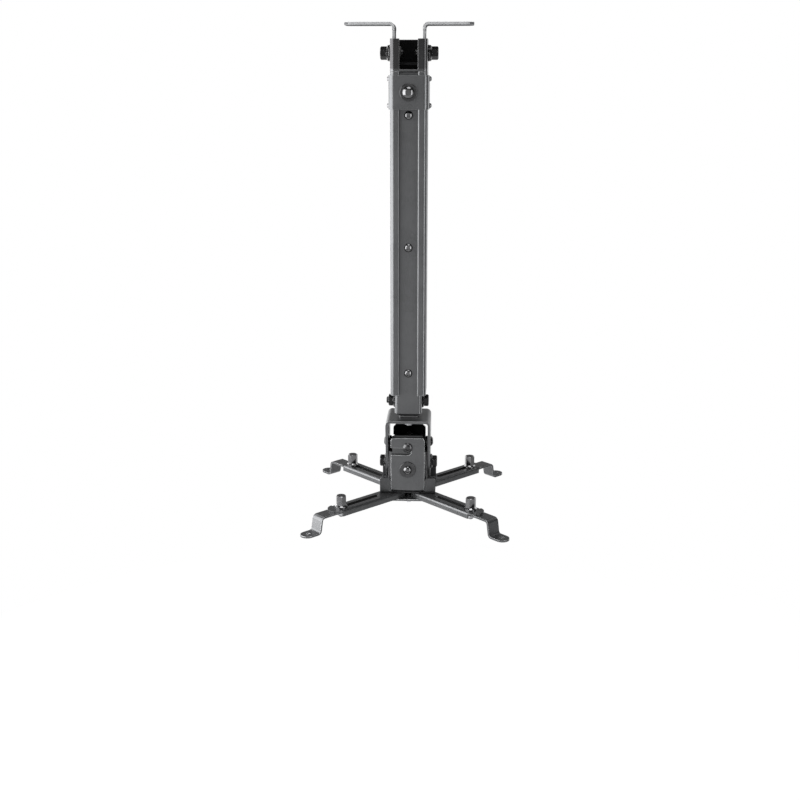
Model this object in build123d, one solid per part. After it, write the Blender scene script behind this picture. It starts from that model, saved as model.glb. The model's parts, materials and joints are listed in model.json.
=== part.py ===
from build123d import *
import os
from math import cos, radians, sin

# Telescopic projector ceiling mount, in millimetres, +Z up. The origin is the centre of the ceiling
# bracket's top face, on the column's axis. -Y is the front, where the column's slot and lock bolt are.
# The column is closed, the head level and the legs drawn out, as the mount is sold.

# Clearances
SLIDE_GAP = 0.3         # between a sliding piece and its guide
FACE_GAP = 0.1          # between flat faces that turn on each other
PIN_GAP = 0.08          # radial, round a pin that turns in its hole
HOLE_GAP = 0.2          # radial, round a bolt in a plain hole
CUT_PAST = 1.0          # a cutter past the faces it opens

# Ceiling bracket, one strip folded to a hat
FLANGE_SPAN = 147.0     # tip to tip of the two flanges
FLANGE_DEPTH = 36.0
FLANGE_END_R = 9.0
HAT_T = 3.0
HAT_BEND_R = 3.0        # inside of the bends
HAT_LEG_DEPTH = 26.0
HAT_NECK = 6.0          # flange underside to the step where the legs narrow
HAT_WEB_DROP = 13.5     # tilt axis to the underside of the web
CEILING_SLOT_SPACING = 100.0
CEILING_SLOT_W = 9.0
CEILING_SLOT_LEN = 26.0

# Tilt head, the C-shaped piece on top of the column
TILT_AXIS_DROP = 33.5   # ceiling face to the tilt axis
HEAD_RISE = 15.5        # tilt axis to the head's top edge
HEAD_DROP = 20.5        # tilt axis to the underside of its floor
HEAD_FLOOR_T = 2.3

# Outer column, a C-channel with its lips turned inward
COLUMN_W = 43.0
COLUMN_WALL = 2.3
COLUMN_BEND_R = 2.7     # inside of the corners
COLUMN_LIP_R = 2.0      # outside of the bends where the lips turn inward
COLUMN_SLOT = 21.0
COLUMN_LEN = 380.5

# Inner column, a square tube that runs between glides
GLIDE_T = 2.4
GLIDE_W = 20.0
UPPER_GLIDE_LEN = 50.0
LOWER_GLIDE_LEN = 30.0
GLIDE_END_GAP = 3.0     # glide to the end of the piece that carries it
INNER_WALL = 2.0
INNER_BEND_R = 2.2      # inside of the corners
INNER_SHOW = 24.0       # length below the channel when closed

# Clamp collar and height lock
COLLAR_WALL = 1.5
COLLAR_H = 38.0
COLLAR_SETBACK = 4.0    # below the channel's top when closed
COLLAR_SCREW_EDGE = 4.0 # side screws from the collar's edges
INNER_SETBACK = 1.0     # inner tube's top below the channel's top when closed
COLUMN_SCREW_DROP = 48.5   # first screw in the slot, below the channel's top
COLUMN_SCREW_PITCH = 152.5
COLUMN_SCREW_COUNT = 3

# Insert at the inner tube's lower end
INSERT_LEN = 36.0       # inside the tube
INSERT_SHOW = 5.9       # below the tube
INSERT_NOSE_INSET = 5.0 # nose's lower end narrower than the tube, each side
INSERT_RIM_H = 2.0      # straight rim at that end, under the taper
INSERT_FLOOR_T = 8.3    # under the swivel bolt's head
STOP_GAP = 2.0          # channel's end to the cross bolt's flange when closed

# Swivel yoke, an inverted U
YOKE_T = 3.0
YOKE_BEND_R = 3.0       # inside of the bends
YOKE_DEPTH = 58.0
YOKE_SHOULDER = 9.0     # height below its top over which it keeps its full depth
GIMBAL_DROP = 33.5      # yoke's top to the pitch and roll axes
PITCH_LOCK_R = 26.0     # pitch axis to the lock bolts
PITCH_LIMIT = 15.0      # degrees each way
YOKE_END_HALF = 14.0    # half depth at the foot of a leg
YOKE_END_SHARE = 0.8    # corner radius there as a share of that half depth
YOKE_END_DROP = 18.0    # lock bolt to the foot of a leg

# Tilt box, a folded square frame between the yoke's legs
BOX_W = 47.5
BOX_D = 51.0
BOX_T = 2.5
BOX_BEND_R = 1.5        # inside of the corners
BOX_RISE = 14.5         # gimbal axes to the top edge
BOX_DROP = 43.0         # gimbal axes to the bottom edge
BOX_SIDE_GAP = 0.5      # to the yoke's legs
BOX_EAR_INSET = 0.75    # sides of the front and back ears, in from the corner bends
BOX_EAR_CORNER_R = 4.0
BOX_PIVOT_R = 6.5       # side walls round the pitch screws
BOX_CORNER_DROP = 6.0   # gimbal axes to the cut-down corners
ROLL_LOCK_R = 28.0      # roll axis to the lock screws
ROLL_LIMIT = 10.0       # degrees each way

# Hub bracket, a U with a hang-on notch in each plate
HUB_T = 3.0
HUB_BEND_R = 1.5        # inside of the bends
HUB_W = 41.0
HUB_RISE = 12.0         # gimbal axes to the plates' top edges
HUB_DROP = 57.0         # gimbal axes to the underside of the web
HUB_CORNER_R = 3.5
NOTCH_DROP = 5.1        # seat of the pivot screw to the centre line of the way in

# Hub tray, a plate with four upturned wings
TRAY_T = 2.0
TRAY_BEND_R = 1.5       # inside of the bends
TRAY_W = 68.0
WING_H = 20.0
WING_GAP = 1.0          # wing to the hub bracket's plate
WING_CORNER_R = 3.0

# Hub plate, which carries the arms from below
HUB_PLATE_W = 62.0
HUB_PLATE_T = 2.4
HUB_PLATE_CORNER_R = 6.0
HUB_SPACER_D = 16.0

# Arms, slotted channels on four pivots
ARM_W = 23.0
ARM_T = 2.0
ARM_BEND_R = 0.8        # inside of the bends
ARM_H = 7.5
ARM_ROOT_R = 17.0       # hub axis to the arm's root
ARM_PIVOT_INSET = 6.88  # arm's pivot to the tray's front or back face
ARM_WALL_R = 115.0      # hub axis to the end of the side walls
ARM_SLOT_START = 50.0   # hub axis to the slot's ends
ARM_SLOT_END = 116.0

# Legs, Z-shaped strips under the arms
LEG_T = 2.4
LEG_BEND_R = 3.0        # inside of the bends
LEG_LAP = 12.0          # strip past the bolt, toward the hub
LEG_BOLT_R = 109.0      # hub axis to the bolt
LEG_DROP_R = 145.0      # hub axis to the outer face of the drop
LEG_LEAN = 3.0          # outward lean of the drop
LEG_DROP = 18.4         # strip's top to the foot's top
FOOT_R = 160.0          # hub axis to the foot hole
FOOT_HOLE_D = 5.5

# Bolts and screws
M8 = 8.0
M8_FLATS = 13.0
M8_FLANGE_D = 17.9
M8_HEAD_H = 8.2
M8_NUT_H = 6.5
M8_BUTTON_D = 14.0
M8_BUTTON_H = 4.4
M6 = 6.0
M6_FLATS = 10.0
M6_NUT_H = 5.0
M6_BUTTON_D = 10.5
M6_BUTTON_H = 3.6
M6_LOW_HEAD_D = 12.0
M6_LOW_HEAD_H = 3.0
M5 = 5.0
M5_PAN_D = 10.0
M5_PAN_H = 3.0
M3 = 3.0
M3_PAN_D = 5.8
M3_PAN_H = 2.6
TILT_HEAD_H = 10.2
HEX_HEAD_H = 5.3
TALL_HEAD_H = 14.5
TALL_HEAD_FLATS = 11.0
TALL_FLANGE_D = 15.0
FLANGE_RIM = 1.4        # straight edge of a bolt's flange
FLANGE_CONE = 1.6       # rise from that edge to the hexagon
SHANK_CHAMFER = 0.8
HEX_REACH_SHARE = 0.6   # radius that clears a hexagon's corners, as a share of its flats
HEX_CROWN_SHARE = 0.46  # flat top's radius as a share of the flats
HEX_TURN_SHARE = 0.1    # height of the turned corners as a share of the flats
SOCKET_SHARE = 0.45     # socket's flats as a share of a domed head
SOCKET_DEPTH_SHARE = 0.5
DOME_RIM_SHARE = 0.25   # straight rim of a domed head as a share of its height
DOME_BULGE_SHARE = 0.72 # its arc's middle as a share of the radius and of the rise
WASHER_T = 1.6
M8_WASHER_D = 20.0
TILT_WASHER_D = 18.5
ROLL_WASHER_D = 20.0
ROLL_SHOULDER_D = 8.4
ARM_PIVOT_D = 8.0
BOLT_END = 2.5          # bolt past its nut

# Widths that follow
COLUMN_R = COLUMN_BEND_R + COLUMN_WALL
COLUMN_INSIDE = COLUMN_W - 2 * COLUMN_WALL
INNER_W = COLUMN_INSIDE - 2 * (GLIDE_T + SLIDE_GAP)
INNER_R = INNER_BEND_R + INNER_WALL
INNER_INSIDE = INNER_W - 2 * INNER_WALL
COLLAR_INSIDE = COLUMN_W + 2 * SLIDE_GAP
COLLAR_W = COLLAR_INSIDE + 2 * COLLAR_WALL
HAT_OUTSIDE = COLUMN_INSIDE - 2 * SLIDE_GAP
HAT_INSIDE = HAT_OUTSIDE - 2 * HAT_T
BOX_EAR_W = BOX_W - 2 * (BOX_T + BOX_BEND_R + BOX_EAR_INSET)
YOKE_INSIDE = BOX_W + 2 * BOX_SIDE_GAP
YOKE_W = YOKE_INSIDE + 2 * YOKE_T
HUB_INSIDE = BOX_D + 2 * SLIDE_GAP
HUB_D = HUB_INSIDE + 2 * HUB_T
ARM_PIVOT_R = (HUB_D / 2 - ARM_PIVOT_INSET) / cos(radians(45))
NOTCH_W = ROLL_SHOULDER_D + 2 * SLIDE_GAP
LEG_W = ARM_W - 2 * (ARM_T + ARM_BEND_R)

# Heights that follow, from the ceiling down
TILT_Z = -TILT_AXIS_DROP
HAT_WEB_BOTTOM = TILT_Z - HAT_WEB_DROP
HAT_WEB_TOP = HAT_WEB_BOTTOM + HAT_T
COLUMN_TOP = TILT_Z - HEAD_DROP
COLUMN_BOTTOM = COLUMN_TOP - COLUMN_LEN
COLLAR_TOP = COLUMN_TOP - COLLAR_SETBACK
COLLAR_BOTTOM = COLLAR_TOP - COLLAR_H
LOCK_Z = (COLLAR_TOP + COLLAR_BOTTOM) / 2
INNER_TOP = COLUMN_TOP - INNER_SETBACK
INNER_BOTTOM = COLUMN_BOTTOM - INNER_SHOW
CROSS_Z = COLUMN_BOTTOM - STOP_GAP - M8_FLANGE_D / 2
INSERT_BOTTOM = INNER_BOTTOM - INSERT_SHOW
YOKE_TOP = INSERT_BOTTOM - FACE_GAP
YOKE_WEB_BOTTOM = YOKE_TOP - YOKE_T
GIMBAL_Z = YOKE_TOP - GIMBAL_DROP
YOKE_BOTTOM = GIMBAL_Z - PITCH_LOCK_R - YOKE_END_DROP
BOX_TOP = GIMBAL_Z + BOX_RISE
BOX_BOTTOM = GIMBAL_Z - BOX_DROP
PITCH_LOCK_Z = GIMBAL_Z - PITCH_LOCK_R
ROLL_LOCK_Z = GIMBAL_Z - ROLL_LOCK_R
HUB_TOP = GIMBAL_Z + HUB_RISE
HUB_BOTTOM = GIMBAL_Z - HUB_DROP
TRAY_BOTTOM = HUB_BOTTOM - TRAY_T
ARM_TOP = TRAY_BOTTOM - FACE_GAP
ARM_WEB_BOTTOM = ARM_TOP - ARM_T
HUB_PLATE_TOP = ARM_TOP - ARM_H - FACE_GAP
HUB_PLATE_BOTTOM = HUB_PLATE_TOP - HUB_PLATE_T
LEG_TOP = ARM_WEB_BOTTOM - FACE_GAP
LEG_STRIP_BOTTOM = LEG_TOP - LEG_T
FOOT_TOP = LEG_TOP - LEG_DROP

SIDES = (-1, 1)
QUARTERS = {"front_right": -45, "back_right": 45, "back_left": 135, "front_left": 225}
pieces = {}


# Shapes that several pieces share

def rod(start, end, diameter):
    """A round bar between two points, for pins and for drilling."""
    way = Vector(*end) - Vector(*start)
    bar = Cylinder(diameter / 2, way.length, align=(Align.CENTER, Align.CENTER, Align.MIN))
    return Plane(origin=start, z_dir=way) * bar


def upright(sketch, low, high):
    """A plan outline raised between two heights."""
    return extrude(Plane.XY.offset(low) * sketch, amount=high - low)


def across(sketch, plane, width):
    """An outline in a vertical plane through the axis, given its width to both sides."""
    return extrude(plane * sketch, amount=width / 2, both=True)


def square_ring(width, depth, wall, inner_radius):
    """Section of a folded or drawn tube with rounded corners."""
    outside = RectangleRounded(width, depth, inner_radius + wall)
    return outside - RectangleRounded(width - 2 * wall, depth - 2 * wall, inner_radius)


def fold(points, radii, thickness, side):
    """Section of a folded strip: one face's line with its bend radii, and the thickness to one side."""
    line = FilletPolyline(*points, radius=radii)
    return make_face(offset(line, amount=thickness, side=side))


def channel_section(lip_return):
    """Section of the C-channel, open to the front, with its lips turned inward by lip_return."""
    section = square_ring(COLUMN_W, COLUMN_W, COLUMN_WALL, COLUMN_BEND_R)
    section -= Pos(0, -COLUMN_W / 2) * Rectangle(COLUMN_SLOT, 4 * COLUMN_WALL)
    if not lip_return:
        return section
    for side in SIDES:
        x_mid = side * (COLUMN_SLOT + COLUMN_WALL) / 2
        lip = Rectangle(COLUMN_WALL, COLUMN_WALL + lip_return, align=(Align.CENTER, Align.MIN))
        section += Pos(x_mid, -COLUMN_W / 2) * lip
    bends = [section.vertices().sort_by_distance((s * COLUMN_SLOT / 2, -COLUMN_W / 2, 0))[0] for s in SIDES]
    return fillet(bends, COLUMN_LIP_R)


# Fasteners, each with its seat at the origin, its head up and its shank down

def shank(diameter, length):
    bar = Cylinder(diameter / 2, length, align=(Align.CENTER, Align.CENTER, Align.MAX))
    return chamfer(bar.edges().sort_by(Axis.Z)[0], SHANK_CHAMFER)


def hexagon(flats, height):
    return extrude(RegularPolygon(flats / 2, 6, major_radius=False), amount=height)


def turned(*points):
    """A body of revolution from its half section in (radius, height)."""
    return revolve(Plane.XZ * make_face(Polyline(*points, close=True)), Axis.Z)


def hex_head(flats, height):
    """A hexagon with its top corners turned off."""
    reach = HEX_REACH_SHARE * flats
    turn_z = height - HEX_TURN_SHARE * flats
    crown = turned((0, 0), (reach, 0), (reach, turn_z), (HEX_CROWN_SHARE * flats, height), (0, height))
    return hexagon(flats, height) & crown


def flange_head(flats, height, flange_diameter):
    rim = flange_diameter / 2
    skirt_top = FLANGE_RIM + FLANGE_CONE
    skirt = turned((0, 0), (rim, 0), (rim, FLANGE_RIM), (flats / 2, skirt_top), (0, skirt_top))
    return hex_head(flats, height) + skirt


def dome_head(diameter, height):
    """A button or pan head with a hexagon socket."""
    radius = diameter / 2
    rim = DOME_RIM_SHARE * height
    rise = height - rim
    bulge = (DOME_BULGE_SHARE * radius, rim + DOME_BULGE_SHARE * rise)
    outline = Line((0, 0), (radius, 0)) + Line((radius, 0), (radius, rim))
    outline += ThreePointArc((radius, rim), bulge, (0, height)) + Line((0, height), (0, 0))
    head = revolve(Plane.XZ * make_face(outline), Axis.Z)
    depth = SOCKET_DEPTH_SHARE * height
    return head - Pos(0, 0, height - depth) * hexagon(SOCKET_SHARE * diameter, 2 * depth)


def nut(flats, height, bore):
    return hexagon(flats, height) - rod((0, 0, -CUT_PAST), (0, 0, height + CUT_PAST), bore + 2 * PIN_GAP)


def washer(diameter, thickness, bore):
    """A washer that lies under a head: its upper face is the head's seat."""
    disc = Cylinder(diameter / 2, thickness, align=(Align.CENTER, Align.CENTER, Align.MAX))
    return disc - rod((0, 0, -thickness - CUT_PAST), (0, 0, CUT_PAST), bore + 2 * HOLE_GAP)


def placed(solid, origin, out):
    """Turn a fastener so that its head points along out, with its seat at origin."""
    return Plane(origin=origin, z_dir=out) * solid


def group(solids):
    return Compound(children=list(solids))


# Ceiling bracket: the fold line runs along the upper and inner faces
flange_tip = FLANGE_SPAN / 2
hat_inner = HAT_INSIDE / 2
hat_line = [
    (-flange_tip, 0), (-hat_inner, 0), (-hat_inner, HAT_WEB_TOP),
    (hat_inner, HAT_WEB_TOP), (hat_inner, 0), (flange_tip, 0),
]
hat_outer_r = HAT_BEND_R + HAT_T
hat_section = fold(hat_line, [hat_outer_r, HAT_BEND_R, HAT_BEND_R, hat_outer_r], HAT_T, Side.RIGHT)
hat = across(hat_section, Plane.XZ, FLANGE_DEPTH)
hat = fillet(hat.edges().filter_by(Axis.Z).group_by(SortBy.LENGTH)[0], FLANGE_END_R)
for side in SIDES:
    neck_width = (FLANGE_DEPTH - HAT_LEG_DEPTH) / 2
    neck_top = -(HAT_T + HAT_NECK)
    neck = Rectangle(neck_width, 2 * TILT_AXIS_DROP, align=(Align.CENTER, Align.MAX))
    neck_y = side * (HAT_LEG_DEPTH + neck_width) / 2
    hat -= across(Pos(neck_y, neck_top) * neck, Plane.YZ, HAT_OUTSIDE + 2 * HAT_T)
    slot = SlotOverall(CEILING_SLOT_LEN, CEILING_SLOT_W)
    hat -= upright(Pos(side * CEILING_SLOT_SPACING / 2, 0) * slot, -2 * HAT_T, HAT_T)
hat -= rod((-COLUMN_W, 0, TILT_Z), (COLUMN_W, 0, TILT_Z), M8 + 2 * HOLE_GAP)
pieces["ceiling_bracket"] = hat

# Tilt bolts: they turn in the head's walls and are screwed into nuts inside the bracket's legs
tilt_seat = COLUMN_W / 2 + FACE_GAP + WASHER_T
tilt_shank = tilt_seat - HAT_INSIDE / 2 + M8_NUT_H + BOLT_END
tilt_bolt = flange_head(M8_FLATS, TILT_HEAD_H, M8_FLANGE_D) + shank(M8, tilt_shank)
tilt_washer = washer(TILT_WASHER_D, WASHER_T, M8)
pieces["tilt_bolts"] = group(placed(tilt_bolt, (s * tilt_seat, 0, TILT_Z), (s, 0, 0)) for s in SIDES)
pieces["tilt_washers"] = group(placed(tilt_washer, (s * tilt_seat, 0, TILT_Z), (s, 0, 0)) for s in SIDES)
hat_nut = nut(M8_FLATS, M8_NUT_H, M8)
pieces["tilt_nuts"] = group(placed(hat_nut, (s * hat_inner, 0, TILT_Z), (-s, 0, 0)) for s in SIDES)

# Tilt head: plain C with a floor, welded to the top of the channel
head = upright(channel_section(0), COLUMN_TOP, TILT_Z + HEAD_RISE)
head += upright(RectangleRounded(COLUMN_W, COLUMN_W, COLUMN_R), COLUMN_TOP, COLUMN_TOP + HEAD_FLOOR_T)
head -= rod((-COLUMN_W, 0, TILT_Z), (COLUMN_W, 0, TILT_Z), M8 + 2 * PIN_GAP)
pieces["tilt_head"] = head

# Outer column: its inturned lips end just clear of the inner tube's face
pieces["outer_column"] = upright(channel_section(GLIDE_T), COLUMN_BOTTOM, COLUMN_TOP)


def glides(near, low, high):
    """Three flat pads, left, right and back, whose inner faces lie at a distance near from the axis."""
    pad = Pos(near + GLIDE_T / 2, 0) * Rectangle(GLIDE_T, GLIDE_W)
    return group(upright(Rot(0, 0, turn) * pad, low, high) for turn in (0, 90, 180))


lower_glide_bottom = COLUMN_BOTTOM + GLIDE_END_GAP
lower_glide_near = COLUMN_INSIDE / 2 - GLIDE_T
pieces["lower_glides"] = glides(lower_glide_near, lower_glide_bottom, lower_glide_bottom + LOWER_GLIDE_LEN)
upper_glide_top = INNER_TOP - GLIDE_END_GAP
pieces["upper_glides"] = glides(INNER_W / 2, upper_glide_top - UPPER_GLIDE_LEN, upper_glide_top)

# Inner column: square tube, drilled for the lock bolt, the face screws and the cross bolt
tube_front = -INNER_W / 2
tube_in = tube_front + INNER_WALL
screw_heights = [COLUMN_TOP - COLUMN_SCREW_DROP - i * COLUMN_SCREW_PITCH for i in range(COLUMN_SCREW_COUNT)]
tube = upright(square_ring(INNER_W, INNER_W, INNER_WALL, INNER_BEND_R), INNER_BOTTOM, INNER_TOP)
tube -= rod((0, -COLUMN_W, LOCK_Z), (0, 0, LOCK_Z), M8 + 2 * HOLE_GAP)
for z in screw_heights:
    tube -= rod((0, -COLUMN_W, z), (0, 0, z), M5 + 2 * PIN_GAP)
tube -= rod((-COLUMN_W, 0, CROSS_Z), (COLUMN_W, 0, CROSS_Z), M8 + 2 * HOLE_GAP)
pieces["inner_column"] = tube
face_screw = dome_head(M5_PAN_D, M5_PAN_H) + shank(M5, INNER_WALL + BOLT_END)
pieces["column_screws"] = group(placed(face_screw, (0, tube_front, z), (0, -1, 0)) for z in screw_heights)

# Clamp collar: the lock bolt draws it and the inner tube together over the channel's lips
collar_front = -COLLAR_W / 2
collar_screw_heights = (COLLAR_TOP - COLLAR_SCREW_EDGE, COLLAR_BOTTOM + COLLAR_SCREW_EDGE)
collar_ring = square_ring(COLLAR_W, COLLAR_W, COLLAR_WALL, COLUMN_R + SLIDE_GAP)
collar = upright(collar_ring, COLLAR_BOTTOM, COLLAR_TOP)
collar -= rod((0, -COLLAR_W, LOCK_Z), (0, 0, LOCK_Z), M8 + 2 * HOLE_GAP)
for z in collar_screw_heights:
    collar -= rod((-COLLAR_W, 0, z), (COLLAR_W, 0, z), M3 + 2 * PIN_GAP)
pieces["clamp_collar"] = collar
side_screw = dome_head(M3_PAN_D, M3_PAN_H) + shank(M3, COLLAR_WALL + FACE_GAP)
pieces["collar_screws"] = group(
    placed(side_screw, (s * COLLAR_W / 2, 0, z), (s, 0, 0)) for s in SIDES for z in collar_screw_heights
)
lock_seat = collar_front - WASHER_T
lock_shank = tube_in - lock_seat + M8_NUT_H + BOLT_END
lock_bolt = dome_head(M8_BUTTON_D, M8_BUTTON_H) + shank(M8, lock_shank)
pieces["height_lock_bolt"] = placed(lock_bolt, (0, lock_seat, LOCK_Z), (0, -1, 0))
pieces["height_lock_washer"] = placed(washer(M8_WASHER_D, WASHER_T, M8), (0, lock_seat, LOCK_Z), (0, -1, 0))
pieces["height_lock_nut"] = placed(nut(M8_FLATS, M8_NUT_H, M8), (0, tube_in, LOCK_Z), (0, 1, 0))

# Column insert: fills the tube's end, traps the swivel bolt's head under the cross bolt
insert_w = INNER_INSIDE - 2 * SLIDE_GAP
nose_w = INNER_W - 2 * INSERT_NOSE_INSET
swivel_seat = INSERT_BOTTOM + INSERT_FLOOR_T
insert_top = INNER_BOTTOM + INSERT_LEN
shoulder_w = INNER_W - 2 * SLIDE_GAP
insert_shoulder = INNER_BOTTOM - FACE_GAP
insert_rim = INSERT_BOTTOM + INSERT_RIM_H
plug = upright(RectangleRounded(insert_w, insert_w, INNER_BEND_R), insert_shoulder, insert_top)
nose = RectangleRounded(nose_w, nose_w, INNER_BEND_R)
plug += loft([
    Plane.XY.offset(insert_rim) * nose,
    Plane.XY.offset(insert_shoulder) * RectangleRounded(shoulder_w, shoulder_w, INNER_R),
])
plug += upright(nose, INSERT_BOTTOM, insert_rim)
head_bore = M8_FLATS / cos(radians(30)) + 2 * HOLE_GAP
plug -= rod((0, 0, swivel_seat), (0, 0, insert_top + CUT_PAST), head_bore)
plug -= rod((0, 0, INSERT_BOTTOM - CUT_PAST), (0, 0, swivel_seat), M8 + 2 * HOLE_GAP)
plug -= rod((-COLUMN_W, 0, CROSS_Z), (COLUMN_W, 0, CROSS_Z), M8 + 2 * HOLE_GAP)
pieces["column_insert"] = plug
cross_shank = INNER_W + M8_HEAD_H + BOLT_END
cross_bolt = flange_head(M8_FLATS, M8_HEAD_H, M8_FLANGE_D) + shank(M8, cross_shank)
pieces["cross_bolt"] = placed(cross_bolt, (INNER_W / 2, 0, CROSS_Z), (1, 0, 0))
cross_nut = flange_head(M8_FLATS, M8_HEAD_H, M8_FLANGE_D)
cross_nut -= rod((0, 0, -CUT_PAST), (0, 0, M8_HEAD_H + CUT_PAST), M8 + 2 * PIN_GAP)
pieces["cross_nut"] = placed(cross_nut, (-INNER_W / 2, 0, CROSS_Z), (-1, 0, 0))

# Swivel bolt: the yoke turns on it, between the insert and the washer
swivel_washer_top = YOKE_WEB_BOTTOM - FACE_GAP
swivel_nut_top = swivel_washer_top - WASHER_T
swivel_shank = swivel_seat - swivel_nut_top + M8_NUT_H + BOLT_END
swivel_bolt = hex_head(M8_FLATS, HEX_HEAD_H) + shank(M8, swivel_shank)
pieces["swivel_bolt"] = placed(swivel_bolt, (0, 0, swivel_seat), (0, 0, 1))
pieces["swivel_washer"] = Pos(0, 0, swivel_washer_top) * washer(M8_WASHER_D, WASHER_T, M8)
pieces["swivel_nut"] = placed(nut(M8_FLATS, M8_NUT_H, M8), (0, 0, swivel_nut_top), (0, 0, -1))

# Swivel yoke: inverted U whose legs taper to the lock bolts, with an arc slot round the pitch axis
yoke_half = YOKE_W / 2
yoke_line = [
    (-yoke_half, YOKE_BOTTOM), (-yoke_half, YOKE_TOP), (yoke_half, YOKE_TOP), (yoke_half, YOKE_BOTTOM),
]
yoke = across(fold(yoke_line, YOKE_BEND_R + YOKE_T, YOKE_T, Side.RIGHT), Plane.XZ, YOKE_DEPTH)
half_depth = YOKE_DEPTH / 2
shoulder_z = YOKE_TOP - YOKE_SHOULDER
leg_outline = Polyline(
    (-half_depth, YOKE_TOP), (half_depth, YOKE_TOP), (half_depth, shoulder_z), (YOKE_END_HALF, YOKE_BOTTOM),
    (-YOKE_END_HALF, YOKE_BOTTOM), (-half_depth, shoulder_z), close=True,
)
leg_shape = make_face(leg_outline)
leg_shape = fillet(leg_shape.vertices().group_by(Axis.Y)[0], YOKE_END_SHARE * YOKE_END_HALF)
yoke &= across(leg_shape, Plane.YZ, 2 * YOKE_W)
pitch_arc = CenterArc((0, GIMBAL_Z), PITCH_LOCK_R, -90 - PITCH_LIMIT, 2 * PITCH_LIMIT)
yoke -= across(SlotArc(pitch_arc, M8 + 2 * SLIDE_GAP), Plane.YZ, 2 * YOKE_W)
yoke -= rod((-YOKE_W, 0, GIMBAL_Z), (YOKE_W, 0, GIMBAL_Z), M6 + 2 * PIN_GAP)
yoke -= rod((0, 0, YOKE_WEB_BOTTOM - CUT_PAST), (0, 0, YOKE_TOP + CUT_PAST), M8 + 2 * PIN_GAP)
pieces["swivel_yoke"] = yoke

# Tilt box: folded frame that carries the pitch screws in its sides and the roll screws front and back,
# cut down at the corners so that its walls stand up only round the screws
box = upright(square_ring(BOX_W, BOX_D, BOX_T, BOX_BEND_R), BOX_BOTTOM, BOX_TOP)
corner_z = GIMBAL_Z - BOX_CORNER_DROP
side_cut = Rectangle(2 * BOX_D, BOX_RISE + BOX_CORNER_DROP + CUT_PAST, align=(Align.CENTER, Align.MIN))
side_cut -= Pos(0, BOX_CORNER_DROP) * Circle(BOX_PIVOT_R)
side_cut -= Rectangle(2 * BOX_PIVOT_R, BOX_CORNER_DROP, align=(Align.CENTER, Align.MIN))
side_cut = across(Pos(0, corner_z) * side_cut, Plane.YZ, 2 * BOX_W)
box -= side_cut - across(Pos(0, corner_z) * Rectangle(BOX_EAR_W, 2 * BOX_D), Plane.XZ, 4 * BOX_D)
box = fillet(box.edges().filter_by(Axis.Y).group_by(Axis.Z)[-1], BOX_EAR_CORNER_R)
box -= rod((-BOX_W, 0, GIMBAL_Z), (BOX_W, 0, GIMBAL_Z), M6 + 2 * HOLE_GAP)
box -= rod((-BOX_W, 0, PITCH_LOCK_Z), (BOX_W, 0, PITCH_LOCK_Z), M8 + 2 * HOLE_GAP)
for z in (GIMBAL_Z, ROLL_LOCK_Z):
    box -= rod((0, -BOX_D, z), (0, BOX_D, z), M6 + 2 * HOLE_GAP)
pieces["tilt_box"] = box
box_wall_x = BOX_W / 2 - BOX_T
box_wall_y = BOX_D / 2 - BOX_T
small_nut = nut(M6_FLATS, M6_NUT_H, M6)
small_nuts = [placed(small_nut, (s * box_wall_x, 0, GIMBAL_Z), (-s, 0, 0)) for s in SIDES]
for z in (GIMBAL_Z, ROLL_LOCK_Z):
    small_nuts += [placed(small_nut, (0, s * box_wall_y, z), (0, -s, 0)) for s in SIDES]
pieces["box_nuts_small"] = group(small_nuts)
large_nut = nut(M8_FLATS, M8_NUT_H, M8)
pieces["box_nuts_large"] = group(
    placed(large_nut, (s * box_wall_x, 0, PITCH_LOCK_Z), (-s, 0, 0)) for s in SIDES
)

# Pitch screws: pivots above, lock bolts in the yoke's arc slots below
pitch_seat = yoke_half + FACE_GAP
pitch_reach = pitch_seat - box_wall_x + BOLT_END
pivot_screw = dome_head(M6_LOW_HEAD_D, M6_LOW_HEAD_H) + shank(M6, pitch_reach + M6_NUT_H)
lock_screw = flange_head(M8_FLATS, M8_HEAD_H, M8_FLANGE_D) + shank(M8, pitch_reach + M8_NUT_H)
pieces["pitch_pivot_screws"] = group(
    placed(pivot_screw, (s * pitch_seat, 0, GIMBAL_Z), (s, 0, 0)) for s in SIDES
)
pieces["pitch_lock_bolts"] = group(
    placed(lock_screw, (s * pitch_seat, 0, PITCH_LOCK_Z), (s, 0, 0)) for s in SIDES
)

# Roll screws: shoulder screws that the hub hangs on, lock screws with wide washers below
roll_seat = HUB_D / 2 + FACE_GAP
shoulder_len = roll_seat - BOX_D / 2
roll_reach = roll_seat - box_wall_y + M6_NUT_H + BOLT_END
shoulder = Cylinder(ROLL_SHOULDER_D / 2, shoulder_len, align=(Align.CENTER, Align.CENTER, Align.MAX))
roll_pivot = dome_head(M6_LOW_HEAD_D, M6_LOW_HEAD_H) + shoulder + shank(M6, roll_reach)
roll_lock = dome_head(M6_BUTTON_D, M6_BUTTON_H) + shank(M6, roll_reach + WASHER_T)
roll_washer = washer(ROLL_WASHER_D, WASHER_T, M6)
lock_seat_y = roll_seat + WASHER_T
pieces["roll_pivot_screws"] = group(
    placed(roll_pivot, (0, s * roll_seat, GIMBAL_Z), (0, s, 0)) for s in SIDES
)
pieces["roll_lock_screws"] = group(
    placed(roll_lock, (0, s * lock_seat_y, ROLL_LOCK_Z), (0, s, 0)) for s in SIDES
)
pieces["roll_lock_washers"] = group(
    placed(roll_washer, (0, s * lock_seat_y, ROLL_LOCK_Z), (0, s, 0)) for s in SIDES
)

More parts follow.
